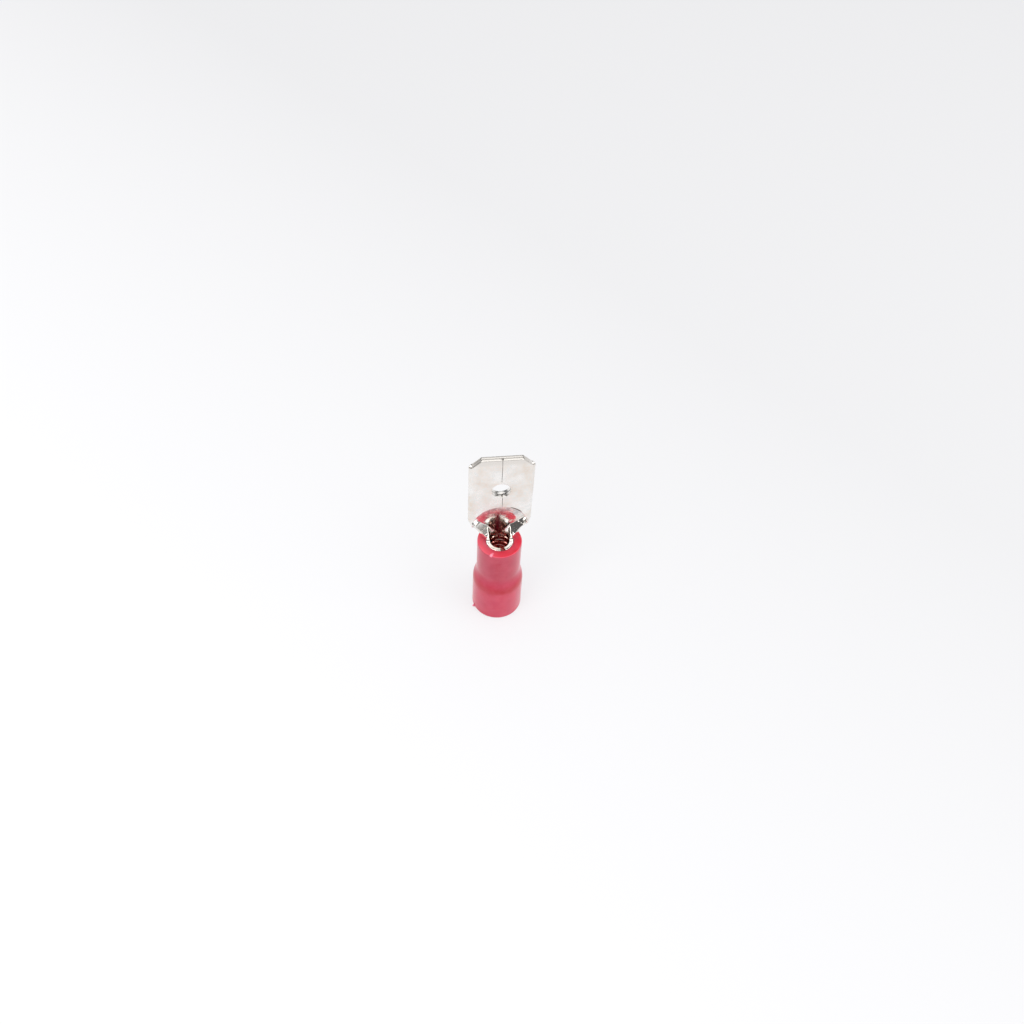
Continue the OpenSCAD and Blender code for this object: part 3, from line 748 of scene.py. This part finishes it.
def latheTree(sizes):
    tree = bpy.data.node_groups.new("sleeveLathe", "GeometryNodeTree")
    ids = {}
    for name, value in sizes.items():
        kind = "NodeSocketVector" if isinstance(value, Vector) else "NodeSocketFloat"
        ids[name] = tree.interface.new_socket(name, in_out="INPUT", socket_type=kind).identifier
    tree.interface.new_socket("Geometry", in_out="OUTPUT", socket_type="NodeSocketGeometry")
    size = addNode(tree, "NodeGroupInput").outputs
    corners = [  # radius, height and rounding of each corner of the section, from the bell's mouth outwards
        ("bellBore", None, "mouthEdge"), ("bellRadius", None, "footEdge"),
        ("bellRadius", "curveFoot", "shoulderBlend"), ("gripRadius", "curveHead", "shoulderBlend"),
        ("gripRadius", "length", "rimEdge"), ("gripBore", "length", "mouthEdge"),
        ("gripBore", "funnelHead", "mouthEdge"), ("bellBore", "funnelFoot", "mouthEdge")]
    index = addNode(tree, "GeometryNodeInputIndex").outputs[0]
    spot = addNode(tree, "GeometryNodeIndexSwitch", {"Index": index}, data_type="VECTOR")
    rounding = addNode(tree, "GeometryNodeIndexSwitch", {"Index": index}, data_type="FLOAT")
    for switch in (spot, rounding):
        while len(switch.index_switch_items) < len(corners):
            switch.index_switch_items.new()
    for k, (radius, height, edge) in enumerate(corners):
        feeds = {"X": size[radius]}
        if height:
            feeds["Y"] = size[height]
        point = addNode(tree, "ShaderNodeCombineXYZ", feeds)
        tree.links.new(point.outputs[0], spot.inputs[k + 1])
        tree.links.new(size[edge], rounding.inputs[k + 1])
    line = addNode(tree, "GeometryNodeMeshLine", {"Count": len(corners)})
    placed = addNode(tree, "GeometryNodeSetPosition", {
        "Geometry": line.outputs[0], "Position": spot.outputs[0]})
    section = addNode(tree, "GeometryNodeMeshToCurve", {0: placed.outputs[0]})
    closed = addNode(tree, "GeometryNodeSetSplineCyclic", {0: section.outputs[0], "Cyclic": True})
    soft = addNode(tree, "GeometryNodeFilletCurve", {
        "Curve": closed.outputs[0], "Count": sleeve["edgeSteps"], "Radius": rounding.outputs[0],
        "Limit Radius": True}, mode="POLY")
    # rows close enough together for the flash and the burr to be drawn cleanly
    here = addNode(tree, "GeometryNodeInputPosition").outputs[0]
    following = addNode(tree, "GeometryNodeOffsetPointInCurve", {"Point Index": index, "Offset": 1})
    there = addNode(tree, "GeometryNodeFieldAtIndex", {
        "Index": following.outputs["Point Index"], "Value": here}, data_type="FLOAT_VECTOR", domain="POINT")
    run = addNode(tree, "ShaderNodeVectorMath", {0: here, 1: there.outputs[0]}, operation="DISTANCE")
    rows = addNode(tree, "ShaderNodeMath", {0: run.outputs["Value"], 1: size["rowStep"]}, operation="DIVIDE")
    fine = addNode(tree, "GeometryNodeSubdivideCurve", {"Curve": soft.outputs[0], "Cuts": rows.outputs[0]})
    # the rail runs 1 mm from the axis, so the section moves in by as much
    turned = addNode(tree, "GeometryNodeTransform", {
        "Geometry": fine.outputs[0], "Translation": (-mm, 0, 0), "Scale": (1, -1, 1)})
    rail = addNode(tree, "GeometryNodeCurvePrimitiveCircle", {
        "Resolution": sleeve["around"], "Radius": mm}, mode="RADIUS")
    skin = addNode(tree, "GeometryNodeCurveToMesh", {
        "Curve": rail.outputs["Curve"], "Profile Curve": turned.outputs[0]})
    body = addNode(tree, "GeometryNodeFlipFaces", {"Mesh": skin.outputs[0]})
    position = addNode(tree, "GeometryNodeInputPosition").outputs[0]
    normal = addNode(tree, "GeometryNodeInputNormal").outputs[0]
    noise = addNode(tree, "ShaderNodeTexNoise", {
        "Vector": position, "W": sleeve["seed"], "Scale": 1 / (sleeve["wobbleSize"] * mm), "Detail": 1.0},
        noise_dimensions="4D")
    # the wobble only goes inwards, and the foot stays flat on the floor
    inwards = addNode(tree, "ShaderNodeMath", {0: noise.outputs["Fac"], 1: 1.0}, operation="SUBTRACT")
    swell = addNode(tree, "ShaderNodeMath", {0: inwards.outputs[0], 1: size["wobble"]}, operation="MULTIPLY")
    height = addNode(tree, "ShaderNodeSeparateXYZ", {0: position}).outputs["Z"]
    lifted = addNode(tree, "ShaderNodeMapRange", {
        "Value": height, "From Min": sleeve["wobbleFrom"] * mm, "From Max": sleeve["wobbleTo"] * mm})
    gentle = addNode(tree, "ShaderNodeMath", {
        0: swell.outputs[0], 1: lifted.outputs[0]}, operation="MULTIPLY")
    push = addNode(tree, "ShaderNodeVectorMath", {0: normal, "Scale": gentle.outputs[0]}, operation="SCALE")
    mesh = addNode(tree, "GeometryNodeSetPosition", {"Geometry": body.outputs[0], "Offset": push.outputs[0]})
    thin = None
    for mark in ("flash", "burr"):
        gap = addNode(tree, "ShaderNodeVectorMath", {
            0: position, 1: size[mark + "Spot"]}, operation="SUBTRACT")
        faced = addNode(tree, "ShaderNodeVectorRotate", {
            "Vector": gap.outputs[0], "Angle": size[mark + "Turn"]}, rotation_type="Z_AXIS")
        spread = addNode(tree, "ShaderNodeVectorMath", {
            0: faced.outputs[0], 1: size[mark + "Span"]}, operation="DIVIDE")
        far = addNode(tree, "ShaderNodeVectorMath", {0: spread.outputs[0]}, operation="LENGTH")
        torn = addNode(tree, "ShaderNodeTexNoise", {
            "Vector": position, "W": sleeve["seed"], "Scale": 1 / (sleeve["tearSize"] * mm), "Detail": 2.0},
            noise_dimensions="4D")
        ragged = addNode(tree, "ShaderNodeMath", {
            0: torn.outputs["Fac"], 1: sleeve["tear"], 2: far.outputs["Value"]}, operation="MULTIPLY_ADD")
        fade = addNode(tree, "ShaderNodeMapRange", {
            "Value": ragged.outputs[0], "From Min": sleeve["tear"] / 2, "From Max": 1 + sleeve["tear"] / 2,
            "To Min": 1.0, "To Max": 0.0}, interpolation_type="SMOOTHERSTEP")
        move = addNode(tree, "ShaderNodeVectorMath", {
            0: size[mark + "Push"], "Scale": fade.outputs[0]}, operation="SCALE")
        held = addNode(tree, "GeometryNodeStoreNamedAttribute", {
            "Geometry": mesh.outputs[0], "Name": mark, "Value": fade.outputs[0]},
            data_type="FLOAT", domain="POINT")
        mesh = addNode(tree, "GeometryNodeSetPosition", {
            "Geometry": held.outputs[0], "Offset": move.outputs[0]})
        kept = addNode(tree, "GeometryNodeInputNamedAttribute", {"Name": mark}, data_type="FLOAT").outputs[0]
        thin = kept if thin is None else addNode(
            tree, "ShaderNodeMath", {0: thin, 1: kept}, operation="MAXIMUM").outputs[0]
    marked = addNode(tree, "GeometryNodeStoreNamedAttribute", {
        "Geometry": mesh.outputs[0], "Name": "thinFlash", "Value": thin}, data_type="FLOAT", domain="POINT")
    dressed = addNode(tree, "GeometryNodeSetMaterial", {"Geometry": marked.outputs[0], "Material": pvc})
    addNode(tree, "NodeGroupOutput", {0: dressed.outputs[0]})
    return tree, ids


def turnedSleeve():
    s = sleeve
    drop = s["bellRadius"] - s["gripRadius"]
    halfLean = atan2(drop, s["shoulderTall"] / 2) / 2
    flash, burr = [
        Vector((cos(radians(angle)), sin(radians(angle)), 0)) for angle in (s["flashAngle"], s["burrAngle"])]
    sizes = {name: s[name] * mm for name in (
        "gripRadius", "gripBore", "bellRadius", "bellBore", "length", "funnelHead", "footEdge", "rimEdge",
        "mouthEdge", "wobble", "rowStep")}
    sizes.update(
        curveFoot=(s["shoulderFoot"] + s["shoulderTall"] / 4) * mm,
        curveHead=(s["shoulderFoot"] + s["shoulderTall"] * 3 / 4) * mm,
        shoulderBlend=s["shoulderTall"] / 4 / tan(halfLean) * mm,
        funnelFoot=(s["funnelHead"] - s["bellBore"] + s["gripBore"]) * mm,
        flashSpot=(flash * s["bellRadius"] + Vector((0, 0, s["flashHeight"]))) * mm,
        flashTurn=-radians(s["flashAngle"]), flashSpan=Vector(s["flashSpan"]) * mm,
        flashPush=flash * s["flashReach"] * mm,
        burrSpot=(burr * (s["gripRadius"] - s["rimEdge"]) + Vector((0, 0, s["length"]))) * mm,
        burrTurn=-radians(s["burrAngle"]), burrSpan=Vector(s["burrSpan"]) * mm,
        burrPush=(burr * s["burrLean"] + Vector((0, 0, 1))) * s["burrReach"] * mm)
    tree, ids = latheTree(sizes)
    holder = bpy.data.objects.new("latheHolder", bpy.data.meshes.new("latheHolder"))
    bpy.context.scene.collection.objects.link(holder)
    lathe = holder.modifiers.new("lathe", "NODES")
    lathe.node_group = tree
    for name, value in sizes.items():
        lathe[ids[name]] = value
    mesh = bpy.data.meshes.new_from_object(holder.evaluated_get(bpy.context.evaluated_depsgraph_get()))
    bpy.data.objects.remove(holder)
    return mesh


addPiece("redSleeve", weighNormals(turnedSleeve()), pvc, "insulating_sleeve")

# studio: a pale sweep, brightest at the front left, a dim room above it, a soft ceiling over the front and
# two soft lamps, in metres
studio = dict(
    floorHalf=2.0, paper="#F9F9FA",
    sweepFront="#FAFAFC", sweepBack="#E5E5E7", shadeFrom=-0.06, shadeTo=0.09, shadeSlant=1.4,
    farFrom=0.15, farTo=0.6, nearShare=0.72,  # share of the plain sweep in the floor near the object
    room=0.1, ceilingFront=1.6, ceilingBack=1.3, ceilingFrom=0.54, ceilingTo=0.76,
    frontEnd=-0.2, backEnd=0.6,  # where the ceiling has its front and its back level
    sweepTop=0.2, sweepLean=0.06, sweepSoft=0.12,  # the sweep stands higher on the right
    # name, place, size and watts
    lamps=[("keyLamp", (-0.16, -0.13, 0.24), 0.16, 0.25), ("fillLamp", (0.19, -0.1, 0.2), 0.2, 0.2)],
    lampAim=(0, 0, 0.01),
)


def makeFloor():
    h = studio["floorHalf"]
    mesh = bpy.data.meshes.new("paleFloor")
    mesh.from_pydata([(-h, -h, 0), (h, -h, 0), (h, h, 0), (-h, h, 0)], [], [[0, 1, 2, 3]])
    floor = bpy.data.objects.new("paleFloor", mesh)
    bpy.context.scene.collection.objects.link(floor)
    material, tree = newMaterial("palePaper")
    place = addNode(tree, "ShaderNodeTexCoord").outputs["Object"]
    aslant = addNode(tree, "ShaderNodeVectorMath", {
        0: place, 1: (studio["shadeSlant"], 1, 0)}, operation="DOT_PRODUCT")
    shade = addNode(tree, "ShaderNodeMapRange", {
        "Value": aslant.outputs["Value"], "From Min": studio["shadeFrom"], "From Max": studio["shadeTo"]})
    reach = addNode(tree, "ShaderNodeVectorMath", {0: place}, operation="LENGTH")
    far = addNode(tree, "ShaderNodeMapRange", {
        "Value": reach.outputs["Value"], "From Min": studio["farFrom"], "From Max": studio["farTo"]},
        interpolation_type="SMOOTHSTEP")
    back = addNode(tree, "ShaderNodeMath", {0: shade.outputs[0], 1: far.outputs[0]}, operation="MAXIMUM")
    tone = addNode(tree, "ShaderNodeMix", {
        "Factor": back.outputs[0], "A": hexColour(studio["sweepFront"]), "B": hexColour(studio["sweepBack"])},
        data_type="RGBA")
    paper = addNode(tree, "ShaderNodeBsdfDiffuse", {"Color": hexColour(studio["paper"])})
    sweep = addNode(tree, "ShaderNodeEmission", {"Color": tone.outputs["Result"]})
    path = addNode(tree, "ShaderNodeLightPath").outputs
    seen = addNode(tree, "ShaderNodeMath", {
        0: path["Is Camera Ray"], 1: path["Is Glossy Ray"]}, operation="MAXIMUM")
    through = addNode(tree, "ShaderNodeMath", {
        0: seen.outputs[0], 1: path["Is Transmission Ray"]}, operation="MAXIMUM")
    plain = addNode(tree, "ShaderNodeMapRange", {"Value": far.outputs[0], "To Min": studio["nearShare"]})
    share = addNode(tree, "ShaderNodeMath", {
        0: plain.outputs[0], 1: through.outputs[0]}, operation="MULTIPLY")
    blend = addNode(tree, "ShaderNodeMixShader", {
        0: share.outputs[0], 1: paper.outputs[0], 2: sweep.outputs[0]})
    addNode(tree, "ShaderNodeOutputMaterial", {"Surface": blend.outputs[0]})
    mesh.materials.append(material)


def makeSky():
    world = bpy.data.worlds.new("softSky")
    bpy.context.scene.world = world
    world.use_nodes = True
    tree = world.node_tree
    tree.nodes.clear()
    aim = addNode(tree, "ShaderNodeTexCoord").outputs["Generated"]
    axes = addNode(tree, "ShaderNodeSeparateXYZ", {0: aim}).outputs
    lean = addNode(tree, "ShaderNodeMath", {
        0: axes["X"], 1: -studio["sweepLean"], 2: axes["Z"]}, operation="MULTIPLY_ADD")
    sweep = addNode(tree, "ShaderNodeMapRange", {
        "Value": lean.outputs[0], "From Min": studio["sweepTop"] - studio["sweepSoft"],
        "From Max": studio["sweepTop"] + studio["sweepSoft"],
        "To Min": hexColour(studio["sweepBack"])[0] - studio["room"], "To Max": 0.0},
        interpolation_type="SMOOTHSTEP")
    lit = addNode(tree, "ShaderNodeMapRange", {
        "Value": axes["Y"], "From Min": studio["frontEnd"], "From Max": studio["backEnd"],
        "To Min": studio["ceilingFront"], "To Max": studio["ceilingBack"]}, interpolation_type="SMOOTHSTEP")
    ceiling = addNode(tree, "ShaderNodeMapRange", {
        "Value": axes["Z"], "From Min": studio["ceilingFrom"], "From Max": studio["ceilingTo"],
        "To Min": studio["room"], "To Max": lit.outputs[0]}, interpolation_type="SMOOTHSTEP")
    glow = addNode(tree, "ShaderNodeMath", {0: sweep.outputs[0], 1: ceiling.outputs[0]}, operation="ADD")
    sky = addNode(tree, "ShaderNodeBackground", {"Color": (1, 1, 1, 1), "Strength": glow.outputs[0]})
    addNode(tree, "ShaderNodeOutputWorld", {"Surface": sky.outputs[0]})


def makeLamps():
    for name, place, size, power in studio["lamps"]:
        lamp = bpy.data.lights.new(name, "AREA")
        lamp.size = size
        lamp.energy = power
        holder = bpy.data.objects.new(name, lamp)
        holder.location = place
        aim = Vector(studio["lampAim"]) - Vector(place)
        holder.rotation_euler = aim.to_track_quat("-Z", "Y").to_euler()
        bpy.context.scene.collection.objects.link(holder)


# camera, worked out from the tab's outline, the hole and the sleeve's two ends in the photograph
lens = dict(
    distance=92, lift=50.15, swing=-10.18, roll=4.08,  # mm and degrees
    pivotHeight=10, aim=(1.276, 3.139),  # mm
    focal=900.9, imageSize=1024,  # pixels
    sensor=36, clip=(0.001, 10),  # mm, m
)


def makeCamera():
    rise, turn, roll = radians(lens["lift"]), radians(lens["swing"]), radians(lens["roll"])
    spin = Matrix.Rotation(turn, 3, "Z")
    across = spin @ Vector((1, 0, 0))
    upward = spin @ Vector((0, sin(rise), cos(rise)))
    back = spin @ Vector((0, -cos(rise), sin(rise)))
    right = across * cos(roll) + upward * sin(roll)
    up = upward * cos(roll) - across * sin(roll)
    pivot = Vector((0, 0, lens["pivotHeight"]))
    place = pivot + back * lens["distance"] + right * lens["aim"][0] + up * lens["aim"][1]
    data = bpy.data.cameras.new("photoCamera")
    data.sensor_width = lens["sensor"]
    data.lens = lens["sensor"] * lens["focal"] / lens["imageSize"]
    data.clip_start, data.clip_end = lens["clip"]
    camera = bpy.data.objects.new("photoCamera", data)
    turnMatrix = Matrix((right, up, back)).transposed().to_4x4()
    camera.matrix_world = Matrix.Translation(place * mm) @ turnMatrix
    bpy.context.scene.collection.objects.link(camera)
    bpy.context.scene.camera = camera


makeFloor()
makeSky()
makeLamps()
makeCamera()
bpy.context.scene.view_settings.view_transform = "Standard"
print("studio ready")
